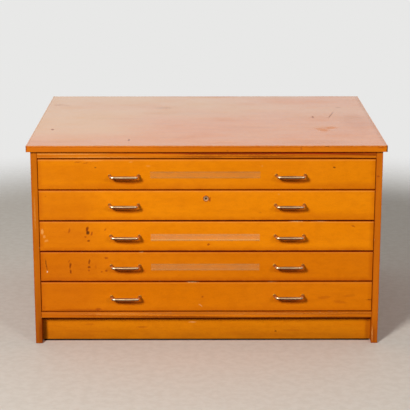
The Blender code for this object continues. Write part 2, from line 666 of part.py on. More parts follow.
def main():
    for old in list(bpy.data.objects):
        bpy.data.objects.remove(old)
    finish = {
        "front": make_material("varnished_front", (226, 127, 8), 0.35),
        "side": make_material("varnished_side", (205, 105, 18), 0.38),
        "rail": make_material("varnished_rail", (212, 112, 18), 0.38),
        "plinth": make_material("varnished_plinth", (200, 105, 12), 0.45),
        "lipping": make_material("varnished_lipping", (211, 113, 24), 0.35),
        "laminate": make_material("varnished_top_sheet", (222, 124, 20), 0.25),
        "inner": make_material("plain_softwood", (206, 170, 120), 0.60),
        "box": make_material("plain_beech", (214, 176, 128), 0.55),
        "ply": make_material("plywood", (198, 160, 112), 0.60),
        "metal": make_material("nickelled_metal", (190, 176, 152), 0.28, 1.0),
        "brass": make_material("lock_brass", (186, 150, 92), 0.35, 1.0),
        "clear": make_material("clear_plastic", (228, 190, 160), 0.20, 0.0, 0.45),
    }
    datum = empty("flat_file_cabinet_datum", None, (0.0, DATUM_Y, 0.0))
    build_carcass(datum, finish)
    build_top(datum, finish)
    build_drawers(datum, finish)


main()
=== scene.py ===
import math

import bmesh
import bpy
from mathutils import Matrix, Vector


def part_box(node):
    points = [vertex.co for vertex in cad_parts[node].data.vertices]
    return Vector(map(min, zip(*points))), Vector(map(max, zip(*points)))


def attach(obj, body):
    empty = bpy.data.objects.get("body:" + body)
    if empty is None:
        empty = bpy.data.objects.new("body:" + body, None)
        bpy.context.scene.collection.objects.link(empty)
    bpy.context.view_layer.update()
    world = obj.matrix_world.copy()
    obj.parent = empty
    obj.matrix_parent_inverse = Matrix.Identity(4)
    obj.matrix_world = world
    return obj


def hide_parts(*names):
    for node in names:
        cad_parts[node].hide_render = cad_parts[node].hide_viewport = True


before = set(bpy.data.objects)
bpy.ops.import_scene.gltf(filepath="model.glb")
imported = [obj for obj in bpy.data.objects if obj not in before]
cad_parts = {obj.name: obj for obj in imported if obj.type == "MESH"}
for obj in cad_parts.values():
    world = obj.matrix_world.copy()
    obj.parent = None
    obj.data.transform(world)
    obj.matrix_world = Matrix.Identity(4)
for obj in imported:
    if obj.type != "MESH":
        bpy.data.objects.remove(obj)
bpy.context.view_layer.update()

# Planes and places of the CAD model, in metres
FRONT_Y = -0.392
PLINTH_Y = -0.3595
BACK_Y = 0.428
TOP_Z = 0.6198
INSIDE_OF_FRONT_Y = -0.372
STAIN_SHADE_TO_Y = FRONT_Y + 0.014
DRAWERS = range(1, 6)
LABELLED = (1, 3, 4)
SIDES = ("left", "right")
ALONG_X, ALONG_Y, ALONG_Z = range(3)

# Finishes, as bytes
FRONT_TINTS = {1: (231, 131, 0), 2: (236, 135, 0), 3: (236, 134, 0), 4: (220, 119, 0), 5: (221, 120, 0)}
SIDE_FACE = (222, 122, 4)
PANEL_EDGES = {"left": (200, 108, 8), "right": (212, 114, 10)}
TOP_RAIL = (222, 124, 8)
TOP_RAIL_BEHIND = (240, 112, 4)
BOTTOM_RAIL = (220, 120, 10)
BOTTOM_RAIL_BEHIND = (226, 88, 0)
PLINTH = (220, 126, 0)
TOP_SHEET = (240, 131, 2)
TOP_HAZE = (240, 172, 104)
LIPPING = (220, 118, 4)
# Lips and runner edges seen in the gaps between fronts: partly stain, partly painted shade that sets how dark each gap
# is
SEAMS = {1: (240, 112, 0), 2: (244, 110, 0), 3: (112, 8, 0), 4: (104, 8, 0), 5: (176, 22, 0)}
RUNNER_EDGES = {1: (246, 118, 8), 2: (92, 4, 0), 3: (88, 4, 0), 4: (140, 16, 0)}
SOFTWOOD = (198, 152, 98)
BEECH = (206, 164, 116)
PLYWOOD = (194, 150, 100)
PLY_CORE = (132, 84, 46)
RED_GRAIN = (122, 34, 0)
GRIME_AND_SHADE_TONE = (146, 32, 0)
AMBER = (186, 84, 0)
LOW_DARK_TONE = (112, 46, 8)
DIRT = (62, 24, 6)
RUST = (150, 52, 4)
BARE_WOOD = (240, 198, 140)
RUB_AND_SHEEN_TONE = (248, 178, 96)
CHALK = (246, 234, 214)

# How dark each drawer front's ends and seams are (grime and painted shade) and how lit its upper edge (rubbing and a
# painted highlight)
END_GRIME_SHADE = {1: 0.10, 2: 0.10, 3: 0.20, 4: 0.35, 5: 0.45}
SEAM_GRIME_SHADE = {1: 0.50, 2: 0.60, 3: 0.80, 4: 0.90, 5: 0.50}
EDGE_RUB_AND_SHEEN = {1: 0.26, 2: 0.26, 3: 0.26, 4: 0.14, 5: 0.14}

# Side panels: how far their grain is moved, and how high the darkening towards the floor reaches and how strong it is
PANEL_SHIFTS = {"left": 1.3, "right": 4.1}
PANEL_LOW_DARK = {"left": (0.26, 0.55), "right": (0.12, 0.40)}

# Marks of use, and painted shadows and highlights where noted: across and up (or back, on the top), half length and
# half width in metres, turn in degrees, tone and strength
# In each drawer's list below, the wide amber mark at the left end (across -0.44) is painted shade that darkens the
# front towards its left end.
FRONT_MARKS = {
    1: [
        (-0.3300, 0.5519, 0.0034, 0.0028, 0, "dirt", 0.60), (-0.3820, 0.5680, 0.0130, 0.0026, 4, "rust", 0.40),
        (-0.3590, 0.5656, 0.0100, 0.0024, 10, "rust", 0.35), (0.3786, 0.5519, 0.0036, 0.0030, 0, "dirt", 0.75),
        (-0.3400, 0.5730, 0.0300, 0.0022, 0, "rubbed_and_sheen", 0.35), (-0.2250, 0.5685, 0.0060, 0.0018, 0, "rubbed_and_sheen", 0.30),
        (-0.1740, 0.5560, 0.0070, 0.0030, 0, "rubbed_and_sheen", 0.20), (0.1650, 0.5560, 0.0026, 0.0026, 0, "rubbed_and_sheen", 0.22),
        (-0.4400, 0.5350, 0.1300, 0.0300, 0, "amber", 0.10), (0.4300, 0.4960, 0.1400, 0.0120, 0, "amber", 0.20),
        (-0.2500, 0.4960, 0.3000, 0.0100, 0, "amber", 0.16),
    ],
    2: [
        (-0.4400, 0.4370, 0.1300, 0.0600, 0, "amber", 0.26), (-0.4800, 0.4640, 0.0034, 0.0018, 50, "rust", 0.35),
        (0.1600, 0.4130, 0.0050, 0.0022, 0, "rust", 0.25), (0.2150, 0.4700, 0.0024, 0.0024, 0, "rubbed_and_sheen", 0.35),
        # On the next line, the first rust mark, right of the lock, is a painted shadow of the lock's flange.
        (0.0094, 0.4546, 0.0034, 0.0078, -7, "rust", 0.72), (-0.0030, 0.4480, 0.0050, 0.0022, 0, "rust", 0.30),
        (0.3800, 0.4030, 0.1800, 0.0100, 0, "amber", 0.18),
    ],
    3: [
        (-0.4400, 0.3420, 0.1300, 0.0600, 0, "amber", 0.30), (-0.4121, 0.3578, 0.0090, 0.0030, 78, "rust", 0.55),
        (-0.3585, 0.3620, 0.0090, 0.0046, 76, "red", 0.85), (-0.3570, 0.3510, 0.0070, 0.0052, 66, "dirt", 0.85),
        (-0.3550, 0.3262, 0.0044, 0.0036, 60, "red", 0.70), (-0.3448, 0.3485, 0.0070, 0.0032, 70, "rust", 0.65),
        (-0.3640, 0.3380, 0.0036, 0.0026, 0, "rust", 0.55), (-0.3052, 0.3610, 0.0050, 0.0030, 40, "rust", 0.50),
        (-0.4933, 0.3547, 0.0044, 0.0090, 0, "rubbed_and_sheen", 0.65), (-0.4880, 0.3390, 0.0040, 0.0050, 0, "rubbed_and_sheen", 0.45),
        (-0.4820, 0.3260, 0.0060, 0.0040, 20, "rubbed_and_sheen", 0.40), (0.0051, 0.3141, 0.0050, 0.0036, 20, "rust", 0.75),
        (0.4400, 0.3703, 0.0070, 0.0026, -25, "rust", 0.60), (0.2700, 0.3860, 0.0240, 0.0011, 0, "bare", 0.60),
        (0.3400, 0.3861, 0.0300, 0.0008, 0, "bare", 0.35),
    ],
    4: [
        (-0.4400, 0.2470, 0.1300, 0.0600, 0, "amber", 0.26), (-0.4840, 0.2500, 0.0200, 0.0017, 98, "dirt", 0.65),
        (-0.4821, 0.2289, 0.0024, 0.0030, 0, "chalk", 0.80), (-0.4118, 0.2480, 0.0100, 0.0032, 84, "red", 0.75),
        (-0.4110, 0.2290, 0.0070, 0.0032, 92, "red", 0.75), (-0.4150, 0.2620, 0.0050, 0.0024, 70, "rust", 0.50),
        (-0.3540, 0.2600, 0.0090, 0.0026, 86, "red", 0.75), (-0.3550, 0.2430, 0.0050, 0.0042, 0, "red", 0.70),
        (-0.3560, 0.2330, 0.0044, 0.0026, 90, "rust", 0.65), (-0.3027, 0.2722, 0.0070, 0.0034, 0, "rust", 0.65),
        (-0.3034, 0.2321, 0.0050, 0.0034, 0, "rust", 0.60), (-0.3171, 0.2289, 0.0036, 0.0026, 0, "rust", 0.50),
        (-0.4600, 0.2006, 0.0240, 0.0018, 0, "dirt", 0.50), (-0.3350, 0.2450, 0.0030, 0.0080, 0, "amber", 0.40),
    ],
    5: [
        (-0.4400, 0.1500, 0.1300, 0.0600, 0, "amber", 0.26), (-0.0130, 0.1493, 0.0040, 0.0032, 15, "rust", 0.55),
        (-0.0190, 0.1222, 0.0074, 0.0008, -38, "bare", 0.70), (-0.0430, 0.1958, 0.0210, 0.0014, 0, "bare", 0.65),
        (0.2000, 0.1961, 0.0160, 0.0008, 0, "bare", 0.35), (0.4960, 0.1396, 0.0120, 0.0018, 2, "red", 0.65),
        (0.3580, 0.1470, 0.0220, 0.0060, 5, "rust", 0.28), (0.4050, 0.1320, 0.0240, 0.0055, -8, "rust", 0.26),
        (0.4330, 0.1520, 0.0220, 0.0050, 4, "rust", 0.22), (-0.3302, 0.1095, 0.0100, 0.0050, 0, "rust", 0.50),
        (-0.4950, 0.1120, 0.0060, 0.0090, 0, "rust", 0.25), (-0.3800, 0.1080, 0.0900, 0.0036, 0, "rust", 0.30),
    ],
}
TOP_MARKS = [
    (0.1500, 0.4180, 0.6500, 0.0130, 0, "dirt", 0.15), (0.5260, 0.0000, 0.0060, 0.9000, 0, "dirt", 0.15),
    (-0.4785, -0.1600, 0.0050, 0.0095, 0, "rust", 1.00), (-0.2332, -0.3188, 0.0034, 0.0140, 0, "red", 0.75),
    (-0.4987, 0.2617, 0.0200, 0.0140, 10, "rust", 0.30), (-0.4700, 0.2500, 0.0120, 0.0110, 0, "rust", 0.22),
    (-0.1440, 0.2047, 0.0340, 0.0140, 0, "dirt", 0.22), (0.4088, 0.0790, 0.0600, 0.0024, 76, "red", 0.70),
    (0.3463, 0.0400, 0.0040, 0.0200, 0, "red", 0.60), (0.4447, 0.2116, 0.0120, 0.0120, 0, "red", 0.30),
    (0.3900, -0.1360, 0.0220, 0.0200, 0, "orange", 0.60), (0.3640, -0.1700, 0.0200, 0.0280, 0, "orange", 0.60),
    (0.3520, -0.1480, 0.0160, 0.0160, 0, "orange", 0.40), (0.3800, -0.1280, 0.0280, 0.0090, 0, "orange", 0.40),
    (0.2700, -0.0700, 0.1500, 0.0100, 0, "rust", 0.12), (0.1300, -0.1270, 0.0900, 0.0200, 0, "rust", 0.10),
    (-0.0900, 0.1030, 0.1600, 0.0300, 0, "dirt", 0.06), (0.4800, -0.0370, 0.0500, 0.1500, 0, "rust", 0.14),
    (0.3200, -0.3470, 0.1400, 0.0300, 0, "rust", 0.12), (-0.2600, 0.0200, 0.1300, 0.0080, 0, "rust", 0.10),
]
# The bare line along the top of the front lipping is a painted highlight on its arris.
LIPPING_MARKS = [
    (0.0000, 0.6162, 1.1000, 0.0014, 0, "rust", 0.50), (0.0000, 0.6196, 1.1000, 0.0006, 0, "bare", 0.40),
    (0.5330, 0.6100, 0.0030, 0.0150, 0, "dirt", 0.85), (0.5150, 0.6145, 0.0120, 0.0032, 0, "rust", 0.40),
    (-0.5330, 0.6110, 0.0028, 0.0150, 0, "rust", 0.80), (0.0610, 0.6045, 0.0034, 0.0026, 0, "rust", 0.45),
    (0.2790, 0.6110, 0.0032, 0.0050, 0, "rust", 0.45), (0.3540, 0.6172, 0.0080, 0.0014, 0, "dirt", 0.45),
]
# The first brick line, along the top of the rail, is a painted shadow of the top's overhang.
RAIL_MARKS = [
    (0.1200, 0.5953, 0.5000, 0.0032, 0, "brick", 0.80), (0.0900, 0.5924, 0.2300, 0.0024, 0, "red", 0.70),
    (-0.0300, 0.5928, 0.0400, 0.0020, 0, "red", 0.60), (0.1000, 0.5862, 0.2400, 0.0022, 0, "red", 0.62),
    (-0.0200, 0.5834, 0.0700, 0.0014, 0, "red", 0.60), (0.1700, 0.5836, 0.0900, 0.0014, 0, "red", 0.55),
    (0.3600, 0.5890, 0.1500, 0.0030, 0, "rust", 0.40), (0.3900, 0.5845, 0.1300, 0.0016, 0, "rust", 0.30),
    (-0.4200, 0.5925, 0.1400, 0.0018, 0, "rubbed_and_sheen", 0.45), (-0.3600, 0.5832, 0.2000, 0.0014, 0, "rubbed_and_sheen", 0.40),
    (-0.4700, 0.5845, 0.0300, 0.0020, 0, "amber", 0.50),
]
# The first red line, along the rail's lower edge, is painted shade; the amber patch at the left end is painted shade
# that darkens the rail towards that end.
BOTTOM_RAIL_MARKS = [
    (0.2000, 0.0822, 0.6200, 0.0024, 0, "red", 0.50),
    (-0.4300, 0.0910, 0.1500, 0.0090, 0, "amber", 0.45), (-0.2500, 0.0940, 0.2000, 0.0013, 0, "rubbed_and_sheen", 0.32),
    (-0.1600, 0.0905, 0.1500, 0.0018, 0, "orange", 0.55), (0.0600, 0.0890, 0.1800, 0.0014, 0, "orange", 0.45),
    (0.2000, 0.0938, 0.2500, 0.0012, 0, "rubbed_and_sheen", 0.22), (-0.1000, 0.0862, 0.2200, 0.0016, 0, "red", 0.60),
    (0.3500, 0.0972, 0.1700, 0.0014, 0, "red", 0.50), (-0.3000, 0.0880, 0.1500, 0.0012, 0, "red", 0.35),
]
# The first red line, along the top of the plinth, is a painted shadow of the bottom rail.
PLINTH_MARKS = [
    (0.0000, 0.0694, 1.1000, 0.0048, 0, "red", 0.62), (-0.4300, 0.0400, 0.1200, 0.0600, 0, "amber", 0.16),
    (-0.1990, 0.0408, 0.0180, 0.0040, 0, "rust", 0.35), (0.2123, 0.0277, 0.0038, 0.0030, 0, "dirt", 0.60),
    (-0.0439, 0.0572, 0.0120, 0.0024, 0, "bare", 0.30), (-0.3600, 0.0500, 0.0160, 0.0040, 0, "rust", 0.25),
    (0.2600, 0.0300, 0.0300, 0.0040, 0, "rust", 0.18), (0.4960, 0.0400, 0.0090, 0.0420, 0, "rust", 0.30),
    (-0.5000, 0.0400, 0.0080, 0.0460, 0, "dirt", 0.45),
]
PANEL_MARKS = {
    "left": [
        (-0.5070, 0.0300, 0.0500, 0.0060, 90, "red", 0.45), (-0.5140, 0.4100, 0.0600, 0.0016, 90, "rubbed_and_sheen", 0.30),
    ],
    "right": [
        (0.5099, 0.5245, 0.0040, 0.0034, 0, "rust", 0.70), (0.5060, 0.0300, 0.0260, 0.0018, 92, "rubbed_and_sheen", 0.45),
        (0.5110, 0.0240, 0.0300, 0.0050, 90, "rust", 0.40),
    ],
}
TONES = {
    "dirt": DIRT, "rust": RUST, "red": (112, 30, 0), "brick": (176, 22, 0), "amber": AMBER,
    "orange": (240, 134, 10), "rubbed_and_sheen": RUB_AND_SHEEN_TONE, "bare": BARE_WOOD, "chalk": CHALK,
}
# How deep a mark goes, how far and how finely its outline wanders, and the shares of its size where it is full and ends
MARK_DEPTH = 0.006
RAGGED = (0.006, 210.0)
SPOT_FULL, SPOT_END = 0.45, 1.25
# a painted shadow of each handle, below and right of its grip
PULL_SHADOW = (0.010, -0.0165, 0.0540, 0.0110, 0, "brick", 0.42)  # as a mark, but placed from the handle's middle

# Depths behind the face of a board, in metres: where a second colour starts, and a drawer front's lip
BEHIND = (0.0012, 0.0022)
LIP_START = (0.0008, 0.0018)
LIP_END = (0.0090, 0.0082)

# Wear, grime and painted light at the edges of a board, in metres from the edge: where each kind starts and where it is
# full
HANDLED = (0.018, 0.0)
# grime and painted shade beside the gaps: below, at the ends and on the upper arris
GRIME_SHADE_BELOW = (0.0028, 0.0004)
GRIME_SHADE_BESIDE = (0.0024, 0.0004)
GRIME_SHADE_ABOVE = (0.0016, 0.0006)
# rubbing and a painted highlight under the upper arris
RUB_SHEEN_BELOW = (0.0058, 0.0030)
RUB_SHEEN_ABOVE = (0.0012, 0.0028)
CHIPPED = (0.0021, 0.0009)
AMBERING, CHIPPING = 0.8, 0.45
STAIN_SHADE_FADE = 0.004

# Label holders: how strong the milky line, a painted highlight, and the dirt are, and the tone of the plastic
LABEL_MILK_AND_HIGHLIGHT = {
    1: (0.020, 0.020, (190, 182, 138)), 3: (0.095, 0.0, (236, 232, 192)), 4: (0.024, 0.020, (216, 214, 160)),
}
LABEL_HIGHLIGHT = (255, 236, 140)
LABEL_DIRT_AND_SHADE = (104, 48, 4)
# Where these come in, in metres: the line (a painted highlight) and the painted shade above the lower edge, the dirt
# under the upper one, and the clearer places that stand proud of the drawer's face
LINE_START = (0.0022, 0.0032)
LINE_END = (0.0060, 0.0050)
SHADE_BELOW = (0.0028, 0.0018)
DIRT_ABOVE = (0.0020, 0.0008)
PROUD = (0.0021, 0.0025)
LINE_TINTING, DIRT_TINTING = 8, 25

# Metals: tone, worn tone and roughness
HANDLE_NICKEL = ((204, 170, 130), (160, 118, 78), 0.40)
LOCK_NICKEL = ((196, 168, 136), (166, 124, 84), 0.60)
LOCK_RIM = ((206, 172, 138), (176, 130, 88), 0.60)
LOCK_BRASS = ((198, 164, 124), (160, 120, 76), 0.60)
PIN_STEEL = ((150, 146, 140), (96, 72, 52), 0.35)
TARNISH = (74, 52, 34)
# Radii on the lock's face where a tone starts and is full, and the tone; on the rim it is a painted reflection of the
# orange front
RIM_REFLECTION = (0.0060, 0.0080, (196, 112, 28))
PLUG_DARK = (0.0040, 0.0022, (84, 48, 18))

# Tints of a handle, all painted light and shade: the axis they change along, where each starts and is full, its
# strength and its tone
# darker towards the left and brighter towards the right: painted light that evens out the lamp's highlight
BOW_LEFT = (ALONG_X, 0.022, -0.026, 0.50, (120, 100, 78))
BOW_RIGHT = (ALONG_X, 0.000, 0.028, 0.35, (236, 206, 160))
# darker below: painted shade and a painted reflection of the dark floor
BOW_BELOW = (ALONG_Z, 0.0014, -0.0016, 0.88, (112, 58, 26))
# the legs: painted shade and a painted reflection of the orange front
BOW_LEGS = (ALONG_Y, -0.0270, -0.0190, 0.88, (172, 126, 70))
# the feet: a painted reflection of the orange front
BOW_FEET = (ALONG_Y, -0.0034, -0.0022, 0.85, (190, 158, 52))
BOW_KNEES = (0.029, 0.034)
# the knees' tone is a painted highlight
KNEE_HIGHLIGHT = (255, 226, 186)

# Handles, as in the CAD model but with more rings and sides
TOUCH = 0.0003
HANDLE_FEET = 0.086
HANDLE_PROJECTION = 0.036
HANDLE_SPLAY = 0.0045
HANDLE_BOW = 0.0015
HANDLE_BEND = 0.0065
HANDLE_SIDES = 28
BEND_STEPS = 10
GRIP_STEPS = 12
WAIST = 0.0040
BELLY = 0.0048
FOOT = 0.0050
FOOT_THICKNESS = 0.0022
# Depth and radius of each ring of a foot, and share of the leg and radius of each ring above it
FOOT_RINGS = (
    (-TOUCH, FOOT - 0.0002), (-TOUCH - 0.0002, FOOT), (-0.0014, FOOT), (-0.0019, FOOT - 0.0004),
    (-FOOT_THICKNESS, FOOT - 0.0012),
)
LEG_RINGS = ((0.04, WAIST + 0.0004), (0.10, WAIST + 0.0001), (0.22, WAIST), (0.5, WAIST), (0.8, WAIST))

# Lock: radii, and radius and depth of the corners of its flange
LOCK_BORE = 0.0055
LOCK_BARREL = 0.0076
LOCK_MOUTH_Y = -0.0016
LOCK_FLANGE = (
    (0.0064, -0.0019), (0.0073, -0.0024), (0.0079, -0.0027), (0.0083, -0.0028), (0.0087, -0.0025), (0.0090, -0.0018),
    (0.0090, -TOUCH),
)
TURNED_SIDES = 64

# Screws and pins: radius and height, and share of both at each ring of a head
SCREW_HEAD = (0.0042, 0.0024)
PIN_HEAD = (0.0015, 0.0007)
HEAD_RINGS = ((1.0, 0.0), (1.0, 0.35), (0.86, 0.75), (0.55, 0.96), (0.0001, 1.0))
HEAD_SIDES = 20
PIN_INSET_X, PIN_INSET_Z = 0.006, 0.008
PIN_SUNK = 0.0008
PIN_COLUMNS, PIN_ROWS = 8, 4

# Studio: the camera is turned in degrees from level and from straight on; a lamp has its place, size and power
CAMERA_PLACE = (-0.0211, -4.5156, 1.4986)
CAMERA_DOWN, CAMERA_ASIDE = 14.439, -0.2207
CAMERA_LENS, CAMERA_SENSOR = 125.2, 36.0
CAMERA_CLIP = (0.05, 60.0)
LAMPS = {"key": ((-2.7, -5.55, 3.42), 1.3, 364.0), "fill": ((3.7, -6.3, 3.4), 1.1, 112.0)}
LAMP_TARGET = (0.0, -0.4, 0.35)
LAMP_COLOUR = (1.0, 0.985, 0.96)
FLOOR_RADIUS = 2.6
FLOOR_FADE = (1.5, 2.5)
FLOOR_DROP = 0.0005
FLOOR_TONES = ((226, 220, 211), (220, 213, 203))
FLOOR_BOUNCE = (132, 114, 96)
FLOOR_SHADE = (46, 20, 6)
# Where the floor is dark below the cabinet: across from the middle, from the front and from the back
SHADE_ACROSS = (0.504, 0.499)
SHADE_ALONG = ((PLINTH_Y - 0.008, PLINTH_Y), (BACK_Y - 0.022, BACK_Y - 0.032))
BACKDROP = (232, 232, 231)
ROOM_COLOUR = (1.0, 0.985, 0.965, 1.0)
ROOM_FADE = (-0.45, 0.55)
ROOM_LIGHT = ((0.12, 0.42), (0.16, 1.04))  # in front and behind, as light and as what gloss mirrors


def linear(colour):
    """Bytes as the linear colour that a shader takes."""
    def channel(value):
        share = value / 255
        return share / 12.92 if share <= 0.04045 else ((share + 0.055) / 1.055) ** 2.4
    return (*map(channel, colour), 1.0)


# Shader nodes

class Shader:
    """A material's node tree, with short calls for its nodes."""

    def __init__(self, name):
        self.material = bpy.data.materials.new(name)
        self.material.use_nodes = True
        self.tree = self.material.node_tree
        self.surface = self.tree.nodes["Principled BSDF"]
        self.place = self.add("TexCoord").outputs["Object"]

    def add(self, kind, inputs=None, **settings):
        made = self.tree.nodes.new("ShaderNode" + kind)
        for name, value in settings.items():
            setattr(made, name, value)
        for key, value in (inputs or {}).items():
            self.feed(made.inputs[key], value)
        return made

    def feed(self, socket, value):
        if isinstance(value, bpy.types.NodeSocket):
            self.tree.links.new(value, socket)
        else:
            socket.default_value = value

    def finish(self, **inputs):
        """Feeds the surface; an input's name has its spaces written as _."""
        for name, value in inputs.items():
            self.feed(self.surface.inputs[name.replace("_", " ")], value)
        return self.material

    def sums(self, operation, first, second=0.0, clamp=False):
        made = self.add("Math", {0: first, 1: second}, operation=operation, use_clamp=clamp)
        return made.outputs[0]

    def span(self, value, low, high, out_low=0.0, out_high=1.0, smooth=True):
        made = self.add(
            "MapRange", {"Value": value, "From Min": low, "From Max": high, "To Min": out_low, "To Max": out_high},
            interpolation_type="SMOOTHSTEP" if smooth else "LINEAR",
        )
        return made.outputs["Result"]

    def mix(self, share, first, second):
        made = self.add("Mix", {0: share, 6: first, 7: second}, data_type="RGBA", blend_type="MIX")
        return made.outputs[2]

    def scaled(self, scale, shift=(0.0, 0.0, 0.0)):
        return self.add("Mapping", {"Vector": self.place, "Location": shift, "Scale": scale}).outputs["Vector"]

    def noise(self, vector, scale, detail=3.0, rough=0.5, distortion=0.0):
        made = self.add(
            "TexNoise",
            {"Vector": vector, "Scale": scale, "Detail": detail, "Roughness": rough, "Distortion": distortion},
        )
        return made.outputs["Fac"]

    def axis(self, number, vector=None):
        return self.add("SeparateXYZ", {0: vector or self.place}).outputs[number]

    def bump(self, height, strength, distance, normal=None):
        inputs = {"Height": height, "Strength": strength, "Distance": distance}
        if normal:
            inputs["Normal"] = normal
        return self.add("Bump", inputs).outputs["Normal"]

    def length(self, vector):
        return self.add("VectorMath", {0: vector}, operation="LENGTH").outputs["Value"]

    def ragged(self, size, scale):
        """The place, moved a little by noise, so that what is drawn with it has ragged outlines."""
        wander = self.add("TexNoise", {"Vector": self.place, "Scale": scale, "Detail": 3.0}).outputs["Color"]
        centred = self.add("VectorMath", {0: wander, 1: (0.5, 0.5, 0.5)}, operation="SUBTRACT").outputs[0]
        pushed = self.add("VectorMath", {0: centred, "Scale": size}, operation="SCALE").outputs[0]
        return self.add("VectorMath", {0: self.place, 1: pushed}, operation="ADD").outputs[0]

    def spot(self, vector, middle, half, turn):
        """1 in a soft-edged ellipsoid, 0 outside it."""
        inside = self.add(
            "Mapping", {"Vector": vector, "Location": middle, "Rotation": turn, "Scale": half}, vector_type="TEXTURE"
        ).outputs["Vector"]
        return self.span(self.length(inside), SPOT_END, SPOT_FULL)

    def tinted(self, colour, axis, start, end, strength, tone):
        """The colour with a tone that comes in along an axis, and how strong the tone is."""
        share = self.span(self.axis(axis), start, end, 0.0, strength)
        return self.mix(share, colour, linear(tone)), share


def marked(shader, colour, marks, flat_axis, depth):
    """The colour with marks of use, painted shadows and highlights among them, on the face that lies at a depth along
    flat_axis, and a mask of the marks.
    """
    if not marks:
        return colour, None
    vector = shader.ragged(*RAGGED)
    everywhere = None
    for across, up, length, width, turn, tone, strength in marks:
        middle, half, angle = [across, up], [length, width], [0.0, 0.0]
        middle.insert(flat_axis, depth)
        half.insert(flat_axis, MARK_DEPTH)
        angle.insert(flat_axis, math.radians(-turn if flat_axis == ALONG_Y else turn))
        spot = shader.sums("MULTIPLY", shader.spot(vector, middle, half, angle), strength)
        colour = shader.mix(spot, colour, linear(TONES[tone]))
        everywhere = spot if everywhere is None else shader.sums("MAXIMUM", everywhere, spot)
    return colour, everywhere


def along(axis, lengthwise, crosswise):
    """A texture's scale along the grain and across it."""
    scale = [crosswise] * 3
    scale[axis] = lengthwise
    return scale


# Varnished wood

def lip_mask(shader, depth):
    """1 on a drawer front's lip behind its face."""
    level = shader.axis(ALONG_Y)
    start, end = ([depth + offset for offset in offsets] for offsets in (LIP_START, LIP_END))
    return shader.sums("MULTIPLY", shader.span(level, *start), shader.span(level, *end))


def red_streaks(shader, tint, axis, shift, low, high, amount):
    """Strong red grain, weaker before low along the axis and full from high on."""
    warped = shader.noise(shader.scaled(along(axis, 1.9, 62.0), (shift, 0.0, 0.0)), 1.0, 5.0, 0.62, 0.9)
    hair = shader.noise(shader.scaled(along(axis, 3.0, 240.0)), 1.0, 3.0, 0.6, 0.5)
    gain = shader.span(shader.axis(axis), low, high, 0.25, 1.0)
    for grain in (shader.span(warped, 0.46, 0.66, 0.0, amount), shader.span(hair, 0.52, 0.70, 0.0, 0.42)):
        tint = shader.mix(shader.sums("MULTIPLY", grain, gain), tint, linear(RED_GRAIN))
    return tint


def hazy(shader, tint, haze, shift):
    """Broad patches of a second colour, more of it towards the left and the back."""
    patch = shader.noise(shader.scaled((1.0, 1.6, 1.0), (shift, 0.0, 0.0)), 2.1, 3.0, 0.5)
    leftwards = shader.span(shader.axis(ALONG_X), 0.50, -0.50, -0.20, 0.26, smooth=False)
    backwards = shader.span(shader.axis(ALONG_Y), -0.40, 0.43, -0.20, 0.14, smooth=False)
    amount = shader.sums("ADD", patch, shader.sums("ADD", leftwards, backwards))
    return shader.mix(shader.span(amount, 0.28, 0.80, 0.0, 0.95), tint, linear(haze))


def darker_low(shader, tint, axis, height, strength):
    """Darker from a height down to the floor, unevenly."""
    uneven = shader.noise(shader.scaled(along(axis, 1.0, 3.0)), 13.0, 4.0, 0.6)
    low_down = shader.span(shader.axis(ALONG_Z), height, 0.0, 0.0, strength)
    share = shader.sums("MULTIPLY", low_down, shader.span(uneven, 0.2, 0.7, 0.6, 1.1))
    return shader.mix(share, tint, linear(LOW_DARK_TONE))


def edge_distances(shader, low, high):
    """How far a place on an upright board's face is from the board's upper edge, lower edge and nearer end."""
    across, up = shader.axis(ALONG_X), shader.axis(ALONG_Z)
    ends = shader.sums("MINIMUM", shader.sums("SUBTRACT", across, low.x), shader.sums("SUBTRACT", high.x, across))
    return shader.sums("SUBTRACT", high.z, up), shader.sums("SUBTRACT", up, low.z), ends


def edge_wear_and_light(shader, tint, axis, box, grime_and_shade, end_grime_and_shade, rub_and_sheen):
    """A board's edges: ambered by hands, darkened below, at the ends and on the upper arris by grime and painted shade
    in the gaps, lightened under that arris by rubbing and a painted highlight, and chipped all round."""
    upper, lower, ends = edge_distances(shader, *box)
    other = shader.sums("MINIMUM", lower, ends)
    patchy = shader.noise(shader.place, 42.0, 4.0, 0.65)
    chips = shader.span(shader.noise(shader.scaled(along(axis, 1.0, 3.0)), 58.0, 3.0, 0.6), 0.66, 0.74)
    handled = shader.sums("MULTIPLY", shader.span(other, *HANDLED), shader.span(patchy, 0.25, 0.65, 0.5, 1.0))
    tint = shader.mix(shader.sums("MULTIPLY", handled, grime_and_shade * AMBERING), tint, linear(AMBER))
    # grime and painted shade along the lower edge and the ends, beside the gaps
    below = shader.span(lower, *GRIME_SHADE_BELOW, 0.0, grime_and_shade)
    beside = shader.span(ends, *GRIME_SHADE_BESIDE, 0.0, end_grime_and_shade)
    dirt_and_shade = shader.sums("MAXIMUM", below, beside)
    dirt_and_shade = shader.sums("MULTIPLY", dirt_and_shade, shader.span(patchy, 0.30, 0.62, 0.45, 1.0))
    tint = shader.mix(dirt_and_shade, tint, linear(GRIME_AND_SHADE_TONE))
    # rubbing and a painted highlight under the upper arris
    rubbed_and_sheen = shader.sums("MULTIPLY", shader.span(upper, *RUB_SHEEN_BELOW), shader.span(upper, *RUB_SHEEN_ABOVE))
    rubbed_and_sheen = shader.sums("MULTIPLY", rubbed_and_sheen, shader.span(patchy, 0.30, 0.60, 0.5, 1.0))
    tint = shader.mix(shader.sums("MULTIPLY", rubbed_and_sheen, rub_and_sheen), tint, linear(RUB_AND_SHEEN_TONE))
    # grime and painted shade on the upper arris
    tint = shader.mix(shader.span(upper, *GRIME_SHADE_ABOVE, 0.0, grime_and_shade), tint, linear(GRIME_AND_SHADE_TONE))
    nearest = shader.sums("MINIMUM", upper, other)
    bared = shader.sums("MULTIPLY", shader.span(nearest, *CHIPPED), chips)
    return shader.mix(shader.sums("MULTIPLY", bared, CHIPPING), tint, linear(BARE_WOOD))


